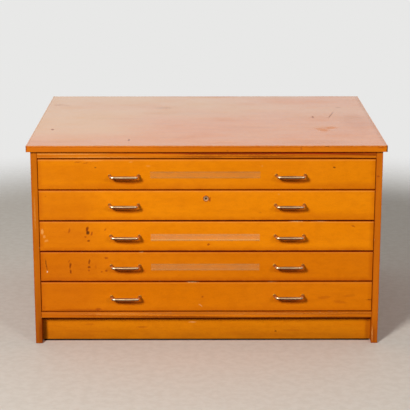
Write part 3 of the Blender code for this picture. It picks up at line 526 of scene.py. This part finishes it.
def varnished(name, colour, axis, figure=0.35, gloss=0.30, shine=0.10, marks=(), flat_axis=ALONG_Y, depth=FRONT_Y,
              streaks=None, shift=0.0, second=None, seam=None, edges=None, grime_and_shade=0.5, end_grime_and_shade=None, rub_and_sheen=0.2,
              haze=None, low_dark=None):
    """Varnished wood with its grain along an axis.

    marks lie on the face at a depth along flat_axis; some are painted shadows and highlights. second is the colour
    behind that face, seam the colour of a drawer front's lip, partly a stain and partly painted shade in the gaps, haze
    a second colour in broad patches. streaks adds strong red grain: where along the axis it starts and is full, and how
    much of it there is. edges is the box of the board whose edges wear, darken with grime and painted shade beside the
    gaps, and lighten with rubbing and a painted highlight under the upper arris; grime_and_shade and rub_and_sheen say
    how much. low_dark is a height below which the wood darkens towards the floor, and by how much."""
    shader = Shader(name)
    grain = shader.scaled(along(axis, 1.0, 15.0), (shift, shift * 1.7, shift * 0.6))
    clouds = shader.noise(shader.scaled(along(axis, 1.0, 2.2), (shift, 0.0, shift)), 3.2, 4.0, 0.55)
    broad = shader.noise(grain, 2.3, 5.0, 0.6, 0.35)
    fine = shader.noise(shader.scaled(along(axis, 1.0, 26.0), (0.0, shift, 0.0)), 17.0, 4.0, 0.7)
    pores = shader.noise(shader.scaled(along(axis, 1.0, 30.0)), 64.0, 2.0, 0.5)
    speckle = shader.noise(shader.place, 240.0, 3.0, 0.65)
    mottle = shader.noise(shader.scaled(along(axis, 1.0, 1.8)), 31.0, 3.0, 0.6)
    dark = linear([value * share for value, share in zip(colour, (0.90, 0.84, 0.6))])
    pale = linear([min(255, value * share + lift) for value, share, lift in zip(colour, (1.035, 1.05, 1.0), (0, 2, 7))])
    tint = linear(colour)
    if second:
        start, end = (depth + offset for offset in BEHIND)
        tint = shader.mix(shader.span(shader.axis(flat_axis), start, end), tint, linear(second))
    if seam:
        tint = shader.mix(lip_mask(shader, depth), tint, linear(seam))
    tint = shader.mix(shader.span(clouds, 0.30, 0.66, 0.0, 0.55), tint, pale)
    tint = shader.mix(shader.span(broad, 0.42, 0.70, 0.0, figure), tint, dark)
    tint = shader.mix(shader.span(fine, 0.50, 0.74, 0.0, figure * 0.8), tint, dark)
    if streaks:
        tint = red_streaks(shader, tint, axis, shift, *streaks)
    pore_mask = shader.span(pores, 0.60, 0.74)
    tint = shader.mix(shader.sums("MULTIPLY", pore_mask, 0.16), tint, linear(RED_GRAIN))
    tint = shader.mix(shader.span(mottle, 0.40, 0.72, 0.0, 0.30), tint, dark)
    tint = shader.mix(shader.span(speckle, 0.50, 0.74, 0.0, 0.34), tint, dark)
    tint = shader.mix(shader.span(speckle, 0.46, 0.28, 0.0, 0.30), tint, pale)
    if haze:
        tint = hazy(shader, tint, haze, shift)
    if low_dark:
        tint = darker_low(shader, tint, axis, *low_dark)
    if edges:
        tint = edge_wear_and_light(shader, tint, axis, edges, grime_and_shade, grime_and_shade if end_grime_and_shade is None else end_grime_and_shade, rub_and_sheen)
    # the mask of all marks, the painted shadows and highlights among them
    tint, worn = marked(shader, tint, marks, flat_axis, depth)
    wiped = shader.noise(shader.scaled(along(axis, 1.0, 2.0)), 7.0, 4.0, 0.6)
    rough = shader.span(wiped, 0.3, 0.7, gloss, gloss + 0.14, smooth=False)
    height = shader.sums("SUBTRACT", 0.0, pore_mask)
    if worn is not None:
        rough = shader.sums("ADD", rough, shader.sums("MULTIPLY", worn, 0.3), clamp=True)
        height = shader.sums("SUBTRACT", height, shader.sums("MULTIPLY", worn, 2.5))
    ripple = shader.bump(shader.noise(shader.place, 34.0, 2.0), 0.10, 0.0006)
    normal = shader.bump(height, 0.35, 0.00012, ripple)
    return shader.finish(Base_Color=tint, Roughness=rough, Normal=normal, Specular_IOR_Level=shine)


# Other materials

def ply_core(shader, low, thickness):
    """1 on the upright edges of a three-ply board's middle veneer."""
    level = shader.span(shader.axis(ALONG_Z), low, low + thickness, 0.0, 1.0, smooth=False)
    offset = shader.sums("ABSOLUTE", shader.sums("SUBTRACT", level, 0.5))
    facing = shader.add("NewGeometry").outputs["Normal"]
    upright = shader.span(shader.sums("ABSOLUTE", shader.axis(ALONG_Z, facing)), 0.5, 0.4)
    return shader.sums("MULTIPLY", shader.span(offset, 0.18, 0.14), upright)


def raw_wood(name, colour, axis, figure=0.5, shift=0.0, layers=None, stain_shade=None):
    """Plain wood with its grain along an axis.

    layers is the lowest height and the thickness of a three-ply board, whose edges show their veneers. stain_shade is
    the depth in front of which the wood is darker, partly from a stain and partly from painted shade, and its colour
    there."""
    shader = Shader(name)
    grain = shader.scaled(along(axis, 1.0, 18.0), (shift, shift, shift))
    broad = shader.noise(grain, 2.6, 5.0, 0.6, 0.5)
    fine = shader.noise(shader.scaled(along(axis, 1.0, 32.0), (0.0, shift, 0.0)), 15.0, 4.0, 0.7)
    clouds = shader.noise(shader.place, 4.0, 4.0, 0.6)
    dark = linear([value * share for value, share in zip(colour, (0.80, 0.70, 0.56))])
    grey = linear([value * share for value, share in zip(colour, (0.84, 0.86, 0.92))])
    tint = shader.mix(shader.span(broad, 0.40, 0.68, 0.0, figure), linear(colour), dark)
    tint = shader.mix(shader.span(fine, 0.48, 0.76, 0.0, figure * 0.7), tint, dark)
    tint = shader.mix(shader.span(clouds, 0.45, 0.75, 0.0, 0.5), tint, grey)
    if layers:
        tint = shader.mix(ply_core(shader, *layers), tint, linear(PLY_CORE))
    if stain_shade:
        limit, stain_shade_tone = stain_shade
        tint, _ = shader.tinted(tint, ALONG_Y, limit + STAIN_SHADE_FADE, limit, 1.0, stain_shade_tone)
    rough = shader.span(clouds, 0.3, 0.7, 0.52, 0.68, smooth=False)
    normal = shader.bump(shader.sums("ADD", fine, broad), 0.25, 0.0003)
    return shader.finish(Base_Color=tint, Roughness=rough, Normal=normal, Specular_IOR_Level=0.3)


def bow_light_and_wear(shader, tint, dull):
    """A handle's painted light and its wear: darker towards its left, below and on its legs, brighter towards its
    right, tinted like the orange front on its feet and brightest at its knees, all of it painted light and shade; its
    knees are also smoothest and its legs rougher."""
    tint, _ = shader.tinted(tint, *BOW_LEFT)
    tint, _ = shader.tinted(tint, *BOW_RIGHT)
    knees = shader.span(shader.sums("ABSOLUTE", shader.axis(ALONG_X)), *BOW_KNEES)
    tint = shader.mix(shader.sums("MULTIPLY", knees, 0.85), tint, linear(KNEE_HIGHLIGHT))
    dull = shader.sums("SUBTRACT", dull, shader.sums("MULTIPLY", knees, 0.10))
    tint, _ = shader.tinted(tint, *BOW_BELOW)
    tint, legs = shader.tinted(tint, *BOW_LEGS)
    tint, _ = shader.tinted(tint, *BOW_FEET)
    return tint, shader.sums("ADD", dull, shader.sums("MULTIPLY", legs, 0.2))


def plated(name, colour, worn_colour, rough, bow=False, ring=None):
    """Old plated metal: dull patches, worn places and specks of tarnish.

    bow adds a handle's painted light and shade and its wear. ring is the middle of a round face across and up, the
    radii at which another colour starts and is full, and that colour."""
    shader = Shader(name)
    patches = shader.noise(shader.place, 46.0, 4.0, 0.6)
    brushed = shader.noise(shader.scaled((8.0, 60.0, 60.0)), 30.0, 3.0, 0.6)
    specks = shader.noise(shader.place, 420.0, 2.0, 0.5)
    tint = shader.mix(shader.span(patches, 0.42, 0.66, 0.0, 0.5), linear(colour), linear(worn_colour))
    tint = shader.mix(shader.span(specks, 0.62, 0.78, 0.0, 0.6), tint, linear(TARNISH))
    dull = shader.span(patches, 0.3, 0.7, rough, rough + 0.16, smooth=False)
    if bow:
        tint, dull = bow_light_and_wear(shader, tint, dull)
    if ring:
        across, up, start, end, tone = ring
        flat = shader.add(
            "Mapping", {"Vector": shader.place, "Location": (-across, 0.0, -up), "Scale": (1.0, 0.0, 1.0)}
        ).outputs["Vector"]
        tint = shader.mix(shader.span(shader.length(flat), start, end, 0.0, 0.9), tint, linear(tone))
    normal = shader.bump(shader.sums("ADD", brushed, specks), 0.12, 0.0002)
    return shader.finish(Base_Color=tint, Metallic=1.0, Roughness=dull, Normal=normal)


def clear_plastic(name, low, high, milk_highlight, dirt, pale):
    """Thin clear plastic, gone slightly milky, with fine scratches along it.

    low and high are the holder's corners. The lower lip has a milky line that is a painted highlight, milk_highlight
    strong, with painted shade below it, and the upper lip's edge dirt of the strength dirt. pale is the colour of the
    milky places."""
    shader = Shader(name)
    scratches = shader.noise(shader.scaled((3.0, 200.0, 200.0)), 6.0, 3.0, 0.6)
    haze = shader.noise(shader.scaled((14.0, 2.0, 40.0)), 1.0, 3.0, 0.6)
    up = shader.axis(ALONG_Z)
    start, end, below = ([low.z + offset for offset in offsets] for offsets in (LINE_START, LINE_END, SHADE_BELOW))
    line = shader.sums("MULTIPLY", shader.span(up, *start), shader.span(up, *end))
    # painted shade along the lower edge, below the line
    under = shader.span(up, *below, 0.0, 0.25)
    over = shader.span(up, *(high.z - offset for offset in DIRT_ABOVE))
    proud = shader.span(shader.axis(ALONG_Y), *(FRONT_Y - offset for offset in PROUD), 1.0, 0.55)
    cover = shader.sums("MULTIPLY", shader.span(haze, 0.35, 0.65, 0.045, 0.075), proud)
    cover = shader.sums("ADD", cover, shader.sums("MULTIPLY", over, dirt))
    cover = shader.sums("ADD", cover, shader.sums("MULTIPLY", line, milk_highlight))
    tint = shader.mix(shader.span(haze, 0.35, 0.65), linear(pale), linear([0.9 * value for value in pale]))
    # the milky line is a painted highlight
    tint = shader.mix(shader.sums("MULTIPLY", line, min(1.0, LINE_TINTING * milk_highlight)), tint, linear(LABEL_HIGHLIGHT))
    dirt_and_shade = shader.sums("MAXIMUM", under, shader.sums("MULTIPLY", over, min(1.0, DIRT_TINTING * dirt)))
    tint = shader.mix(dirt_and_shade, tint, linear(LABEL_DIRT_AND_SHADE))
    rough = shader.span(scratches, 0.3, 0.7, 0.14, 0.34, smooth=False)
    normal = shader.bump(scratches, 0.15, 0.0002)
    return shader.finish(Base_Color=tint, Roughness=rough, Normal=normal, Specular_IOR_Level=0.15, Alpha=cover)


# Meshes

def mesh_from(build, name, smooth=True):
    bmesh.ops.recalc_face_normals(build, faces=build.faces[:])
    mesh = bpy.data.meshes.new(name)
    build.to_mesh(mesh)
    build.free()
    if smooth:
        mesh.shade_smooth()
        mesh.set_sharp_from_angle(angle=math.radians(38))
    return mesh


def round_ring(build, middle, radius, sides):
    """Corners on a circle about an axis along Y."""
    angles = [math.tau * side / sides for side in range(sides)]
    return [
        build.verts.new((middle[0] + radius * math.cos(angle), middle[1], middle[2] + radius * math.sin(angle)))
        for angle in angles
    ]


def join_rings(build, rings):
    """Faces from each ring of corners to the next."""
    sides = len(rings[0])
    for ring, following in zip(rings, rings[1:]):
        for side in range(sides):
            other = (side + 1) % sides
            build.faces.new((ring[side], ring[other], following[other], following[side]))


def skin(build, rings):
    """Faces from ring to ring and over both ends."""
    build.faces.new(rings[0])
    join_rings(build, rings)
    build.faces.new(rings[-1])


def turned(profile):
    """A profile of (radius, y) points, turned about the Y axis and closed from its last point to its first."""
    build = bmesh.new()
    rings = [round_ring(build, (0.0, y, 0.0), radius, TURNED_SIDES) for radius, y in profile]
    join_rings(build, rings + rings[:1])
    return build


def handle_path():
    """Middle line of a handle in plan from one foot to the other, with the radius at each point."""
    foot_x = HANDLE_FEET / 2
    knee = Vector((foot_x - HANDLE_SPLAY, BELLY + HANDLE_BOW - HANDLE_PROJECTION))
    ankle = Vector((foot_x, -FOOT_THICKNESS))
    leg = (knee - ankle).normalized()
    turn = leg.angle(Vector((-1.0, 0.0)))
    bend_start = knee - leg * HANDLE_BEND * math.tan(turn / 2)
    centre = bend_start + Vector((leg.y, -leg.x)) * HANDLE_BEND
    start = math.atan2(bend_start.y - centre.y, bend_start.x - centre.x)
    half = [(Vector((foot_x, y)), radius) for y, radius in FOOT_RINGS]
    length = (bend_start - ankle).length
    for share, radius in LEG_RINGS:
        half.append((ankle + leg * length * share, radius))
    for step in range(BEND_STEPS + 1):
        angle = start - turn * step / BEND_STEPS
        half.append((centre + HANDLE_BEND * Vector((math.cos(angle), math.sin(angle))), WAIST))
    grip_half = half[-1][0].x
    for step in range(1, GRIP_STEPS + 1):
        swell = math.sin(math.pi / (2 * GRIP_STEPS) * step)
        point = Vector((grip_half * (1 - step / GRIP_STEPS), knee.y - HANDLE_BOW * swell))
        half.append((point, WAIST + (BELLY - WAIST) * swell))
    return half + [(Vector((-point.x, point.y)), radius) for point, radius in reversed(half[:-1])]


def handle_mesh():
    path = handle_path()
    build = bmesh.new()
    rings = []
    flat = len(FOOT_RINGS)
    for index, (point, radius) in enumerate(path):
        before = path[max(index - 1, 0)][0]
        after = path[min(index + 1, len(path) - 1)][0]
        direction = (after - before).normalized()
        if index < flat or index >= len(path) - flat:
            direction = Vector((0.0, -1.0 if index < flat else 1.0))
        across = Vector((-direction.y, direction.x, 0.0))
        ring = []
        for side in range(HANDLE_SIDES):
            angle = math.tau * side / HANDLE_SIDES
            offset = across * radius * math.cos(angle) + Vector((0.0, 0.0, radius * math.sin(angle)))
            ring.append(build.verts.new(Vector((point.x, point.y, 0.0)) + offset))
        rings.append(ring)
    skin(build, rings)
    return mesh_from(build, "handle")


def screw_head(build, middle, radius, height):
    """A pan head, at middle on a face that looks along +Y."""
    x, y, z = middle
    skin(build, [
        round_ring(build, (x, y + height * rise, z), radius * share, HEAD_SIDES) for share, rise in HEAD_RINGS
    ])


def place(name, mesh, material, body, location=(0.0, 0.0, 0.0)):
    piece = bpy.data.objects.new(name, mesh)
    piece.location = location
    bpy.context.scene.collection.objects.link(piece)
    if not mesh.materials:
        mesh.materials.append(material)
    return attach(piece, body)


def dress(node, material):
    """Gives a CAD node its finish."""
    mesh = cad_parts[node].data
    mesh.materials.clear()
    mesh.materials.append(material)


# Wood

def dress_carcass():
    for side in SIDES:
        dress(f"side_panel_{side}", varnished(
            f"panel_{side}", PANEL_EDGES[side], ALONG_Z, figure=0.45, marks=PANEL_MARKS[side], second=SIDE_FACE,
            shift=PANEL_SHIFTS[side], edges=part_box(f"side_panel_{side}"), grime_and_shade=0.35, low_dark=PANEL_LOW_DARK[side],
        ))
    dress("top_frame", varnished(
        "top_rail", TOP_RAIL, ALONG_X, streaks=(-0.34, 0.04, 0.80), second=TOP_RAIL_BEHIND, shift=0.7,
        marks=RAIL_MARKS,
    ))
    dress("bottom_rail", varnished(
        "bottom_rail", BOTTOM_RAIL, ALONG_X, streaks=(-2.0, -1.0, 0.42), second=BOTTOM_RAIL_BEHIND, shift=2.9,
        edges=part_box("bottom_rail"), grime_and_shade=0.12, rub_and_sheen=0.12, marks=BOTTOM_RAIL_MARKS,
    ))
    dress("plinth_board", varnished(
        "plinth", PLINTH, ALONG_X, figure=0.42, gloss=0.42, shine=0.08, marks=PLINTH_MARKS, depth=PLINTH_Y, shift=5.2,
        low_dark=(0.056, 0.36),
    ))
    dress("rear_plinth_board", raw_wood("rear_plinth", SOFTWOOD, ALONG_X, shift=3.3))
    dress("bottom_board", raw_wood("bottom_board", PLYWOOD, ALONG_X, shift=7.7))
    dress("back_panel", raw_wood("back_panel", PLYWOOD, ALONG_X, figure=0.65, shift=9.1))
    # the runner frames' front edges: a stain and painted shade in the gaps
    for number, stain_shade_tone in RUNNER_EDGES.items():
        dress(f"runner_frame_{number}", raw_wood(
            f"runner_frame_{number}", SOFTWOOD, ALONG_X, shift=1.1 * number, stain_shade=(STAIN_SHADE_TO_Y, stain_shade_tone),
        ))


def dress_top():
    dress("top_board", raw_wood("top_core", SOFTWOOD, ALONG_X, shift=6.1))
    dress("top_laminate", varnished(
        "top_sheet", TOP_SHEET, ALONG_X, figure=0.34, gloss=0.10, shine=0.48, marks=TOP_MARKS, flat_axis=ALONG_Z,
        depth=TOP_Z, shift=8.3, haze=TOP_HAZE,
    ))
    dress("top_lipping_front", varnished(
        "lipping_front", LIPPING, ALONG_X, figure=0.5, shift=2.0, shine=0.18, marks=LIPPING_MARKS,
        depth=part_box("top_lipping_front")[0].y,
    ))
    for side, axis in (("back", ALONG_X), ("left", ALONG_Y), ("right", ALONG_Y)):
        dress(f"top_lipping_{side}", varnished(
            f"lipping_{side}", TOP_SHEET, axis, figure=0.4, gloss=0.12, shine=0.48, shift=8.3, haze=TOP_HAZE,
        ))


def pull_shadow_mark(node):
    """A painted shadow below and right of a handle, drawn as a mark."""
    low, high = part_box(node)
    across, up, *rest = PULL_SHADOW
    return ((low.x + high.x) / 2 + across, (low.z + high.z) / 2 + up, *rest)


def dress_drawers():
    for number in DRAWERS:
        name = f"drawer_{number}"
        # painted shadows of the handles, drawn as marks on the front
        pull_shadows = [pull_shadow_mark(f"{name}_handle_{side}") for side in SIDES]
        dress(f"{name}_front", varnished(
            f"{name}_front", FRONT_TINTS[number], ALONG_X, figure=0.22, marks=pull_shadows + FRONT_MARKS[number],
            shift=1.9 * number, seam=SEAMS[number], edges=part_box(f"{name}_front"), grime_and_shade=SEAM_GRIME_SHADE[number],
            end_grime_and_shade=END_GRIME_SHADE[number], rub_and_sheen=EDGE_RUB_AND_SHEEN[number],
        ))
        for side in SIDES:
            dress(f"{name}_side_{side}", raw_wood(f"{name}_side_{side}", BEECH, ALONG_Y, shift=0.7 * number))
        dress(f"{name}_back", raw_wood(f"{name}_back", BEECH, ALONG_X, shift=0.9 * number))
        low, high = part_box(f"{name}_bottom")
        dress(f"{name}_bottom", raw_wood(
            f"{name}_bottom", PLYWOOD, ALONG_X, figure=0.6, shift=1.7 * number, layers=(low.z, high.z - low.z),
        ))


# Fittings

def build_handles():
    metal = plated("handle_nickel", *HANDLE_NICKEL, bow=True)
    mesh = handle_mesh()
    for number in DRAWERS:
        body = f"drawer_{number}"
        screws = bmesh.new()
        for side in SIDES:
            node = f"drawer_{number}_handle_{side}"
            low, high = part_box(node)
            middle = (low + high) / 2
            piece = place(f"{node}_bow", mesh, metal, body, (middle.x, FRONT_Y, middle.z))
            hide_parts(node)
            for foot in (-1, 1):
                where = (middle.x + foot * HANDLE_FEET / 2, INSIDE_OF_FRONT_Y + TOUCH, middle.z)
                screw_head(screws, where, *SCREW_HEAD)
        place(f"{body}_handle_screws", mesh_from(screws, "screws"), metal, body)


def dress_labels():
    for number in LABELLED:
        node = f"drawer_{number}_label_holder"
        dress(node, clear_plastic(f"label_plastic_{number}", *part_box(node), *LABEL_MILK_AND_HIGHLIGHT[number]))


def build_lock():
    """The flange with its barrel, turned anew, and the finish of the nut, the cam and the plug."""
    low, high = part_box("lock_housing")
    middle = (low + high) / 2
    at = (middle.x, FRONT_Y, middle.z)
    nickel = plated("lock_nickel", *LOCK_NICKEL)
    # the rim's outer ring of tone is a painted reflection of the orange front
    rim = plated("lock_rim", *LOCK_RIM, ring=(0.0, 0.0, *RIM_REFLECTION))
    brass = plated("lock_brass", *LOCK_BRASS, ring=(middle.x, middle.z, *PLUG_DARK))
    end = high.y - FRONT_Y
    housing = turned([
        (LOCK_BORE, LOCK_MOUTH_Y), *LOCK_FLANGE, (LOCK_BARREL, -TOUCH), (LOCK_BARREL, end), (LOCK_BORE, end),
    ])
    piece = place("lock_body", mesh_from(housing, "lock_body"), rim, "drawer_2", at)
    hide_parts("lock_housing")
    dress("lock_nut", nickel)
    dress("lock_cam", nickel)
    dress("lock_plug", brass)


def build_pins():
    """Panel pins round the edge of the back panel."""
    build = bmesh.new()
    low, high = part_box("back_panel")
    y = BACK_Y - PIN_SUNK
    for step in range(PIN_COLUMNS + 1):
        x = low.x + PIN_INSET_X + (high.x - low.x - 2 * PIN_INSET_X) * step / PIN_COLUMNS
        for z in (low.z + PIN_INSET_Z, high.z - PIN_INSET_Z):
            screw_head(build, (x, y, z), *PIN_HEAD)
    for step in range(1, PIN_ROWS):
        z = low.z + (high.z - low.z) * step / PIN_ROWS
        for x in (low.x + PIN_INSET_X, high.x - PIN_INSET_X):
            screw_head(build, (x, y, z), *PIN_HEAD)
    steel = plated("pin_steel", *PIN_STEEL)
    place("back_panel_pins", mesh_from(build, "pins"), steel, "carcass")


# Studio

def build_floor():
    """A pale floor that fades out at a distance, dark below the cabinet."""
    build = bmesh.new()
    bmesh.ops.create_circle(build, cap_ends=True, radius=FLOOR_RADIUS, segments=96)
    mesh = mesh_from(build, "floor", smooth=False)
    floor = bpy.data.objects.new("studio_floor", mesh)
    floor.location.z = -FLOOR_DROP
    bpy.context.scene.collection.objects.link(floor)
    shader = Shader("floor")
    mottle = shader.noise(shader.place, 40.0, 4.0, 0.6)
    tint = shader.mix(shader.span(mottle, 0.35, 0.65), *map(linear, FLOOR_TONES))
    tint = shader.mix(shader.add("LightPath").outputs["Is Diffuse Ray"], tint, linear(FLOOR_BOUNCE))
    under = shader.span(shader.sums("ABSOLUTE", shader.axis(ALONG_X)), *SHADE_ACROSS)
    for start, end in SHADE_ALONG:
        under = shader.sums("MULTIPLY", under, shader.span(shader.axis(ALONG_Y), start, end))
    tint = shader.mix(under, tint, linear(FLOOR_SHADE))
    fade = shader.span(shader.length(shader.place), *FLOOR_FADE, 1.0, 0.0)
    shader.finish(Base_Color=tint, Roughness=0.7, Alpha=fade, Specular_IOR_Level=0.2)
    mesh.materials.append(shader.material)


def build_world():
    """Pale to the camera; to the object, a room with a pale wall behind it and a dimmer half in front."""
    world = bpy.data.worlds.new("studio")
    bpy.context.scene.world = world
    world.use_nodes = True
    tree = world.node_tree
    tree.nodes.clear()

    def add(kind, **inputs):
        made = tree.nodes.new("ShaderNode" + kind)
        for name, value in inputs.items():
            socket = made.inputs[name.replace("_", " ")]
            if isinstance(value, bpy.types.NodeSocket):
                tree.links.new(value, socket)
            else:
                socket.default_value = value
        return made

    def blend(share, first, second):
        made = add("MixShader")
        for socket, value in zip(made.inputs, (share, first.outputs[0], second.outputs[0])):
            tree.links.new(value, socket)
        return made

    level = add("SeparateXYZ", Vector=add("TexCoord").outputs["Generated"]).outputs["Y"]
    rays = add("LightPath").outputs
    rooms = []
    for front, back in ROOM_LIGHT:
        low, high = ROOM_FADE
        fade = add("MapRange", Value=level, From_Min=low, From_Max=high, To_Min=front, To_Max=back)
        fade.interpolation_type = "SMOOTHSTEP"
        rooms.append(add("Background", Color=ROOM_COLOUR, Strength=fade.outputs["Result"]))
    backdrop = add("Background", Color=linear(BACKDROP))
    seen = add("Math")
    seen.operation = "MAXIMUM"
    tree.links.new(rays["Is Camera Ray"], seen.inputs[0])
    tree.links.new(rays["Is Transmission Ray"], seen.inputs[1])
    room = blend(rays["Is Glossy Ray"], *rooms)
    add("OutputWorld", Surface=blend(seen.outputs[0], room, backdrop).outputs[0])


def build_lamps():
    for name, (location, size, power) in LAMPS.items():
        data = bpy.data.lights.new(name, "AREA")
        data.shape = "DISK"
        data.size = size
        data.energy = power
        data.color = LAMP_COLOUR
        light = bpy.data.objects.new(name, data)
        light.location = location
        light.rotation_euler = (Vector(LAMP_TARGET) - Vector(location)).to_track_quat("-Z", "Y").to_euler()
        light.visible_camera = False
        bpy.context.scene.collection.objects.link(light)


def build_camera():
    data = bpy.data.cameras.new("camera")
    data.lens = CAMERA_LENS
    data.sensor_width = CAMERA_SENSOR
    data.clip_start, data.clip_end = CAMERA_CLIP
    camera = bpy.data.objects.new("camera", data)
    camera.location = CAMERA_PLACE
    camera.rotation_euler = (math.radians(90.0 - CAMERA_DOWN), 0.0, math.radians(CAMERA_ASIDE))
    bpy.context.scene.collection.objects.link(camera)
    bpy.context.scene.camera = camera


def main():
    build_camera()
    build_world()
    build_floor()
    build_lamps()
    dress_carcass()
    dress_top()
    dress_drawers()
    build_handles()
    dress_labels()
    build_lock()
    build_pins()
    bpy.context.scene.view_settings.view_transform = "Standard"


main()
